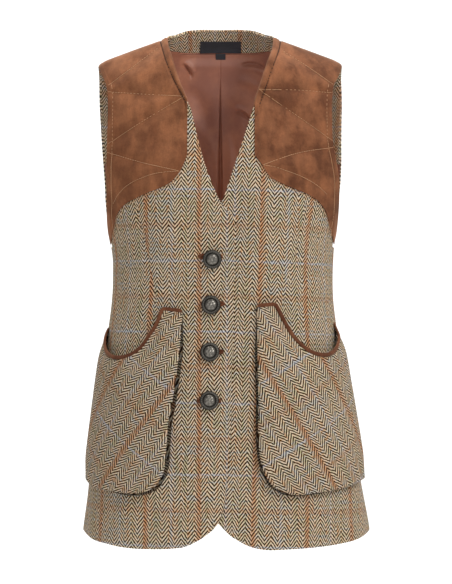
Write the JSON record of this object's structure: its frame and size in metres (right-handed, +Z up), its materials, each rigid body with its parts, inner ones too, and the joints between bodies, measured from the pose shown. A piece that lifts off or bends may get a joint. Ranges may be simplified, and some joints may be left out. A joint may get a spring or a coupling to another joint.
{
  "type": "gilet",
  "caption": "Sleeveless tweed gilet, filled out as worn, with a V neck, suede shoulder patches, bellows pockets and buttoned front.",
  "frame": {"origin": "midway between the two neck ends of the shoulder seams, where the garment hangs from the wearer", "axes": "+Z up along the wearer, +Y to the wearer's back, +X to the wearer's left"},
  "size_m": [0.4122, 0.2933, 0.7422],
  "materials": {
    "tweed": "napped herringbone wool with a windowpane overcheck",
    "suede": "napped",
    "lining": "satin",
    "pewter": "antique metal, satin",
    "label": "matt woven"
  },
  "bodies": {
    "root": {"front_right": "tweed", "front_left": "tweed", "back": "tweed", "neck_facing": "tweed", "armhole_facing_right": "tweed", "armhole_facing_left": "tweed", "pocket_right": "tweed", "pocket_left": "tweed", "pocket_gusset_right": "tweed", "pocket_gusset_left": "tweed", "shoulder_patch_right": "suede", "shoulder_patch_left": "suede", "pocket_binding_right": "suede", "pocket_binding_left": "suede", "buttonhole_1": "suede", "buttonhole_2": "suede", "buttonhole_3": "suede", "buttonhole_4": "suede", "lining_back": "lining", "button_1": "pewter", "button_2": "pewter", "button_3": "pewter", "button_4": "pewter", "neck_label": "label", "size_tab": "label"}
  },
  "joints": []
}
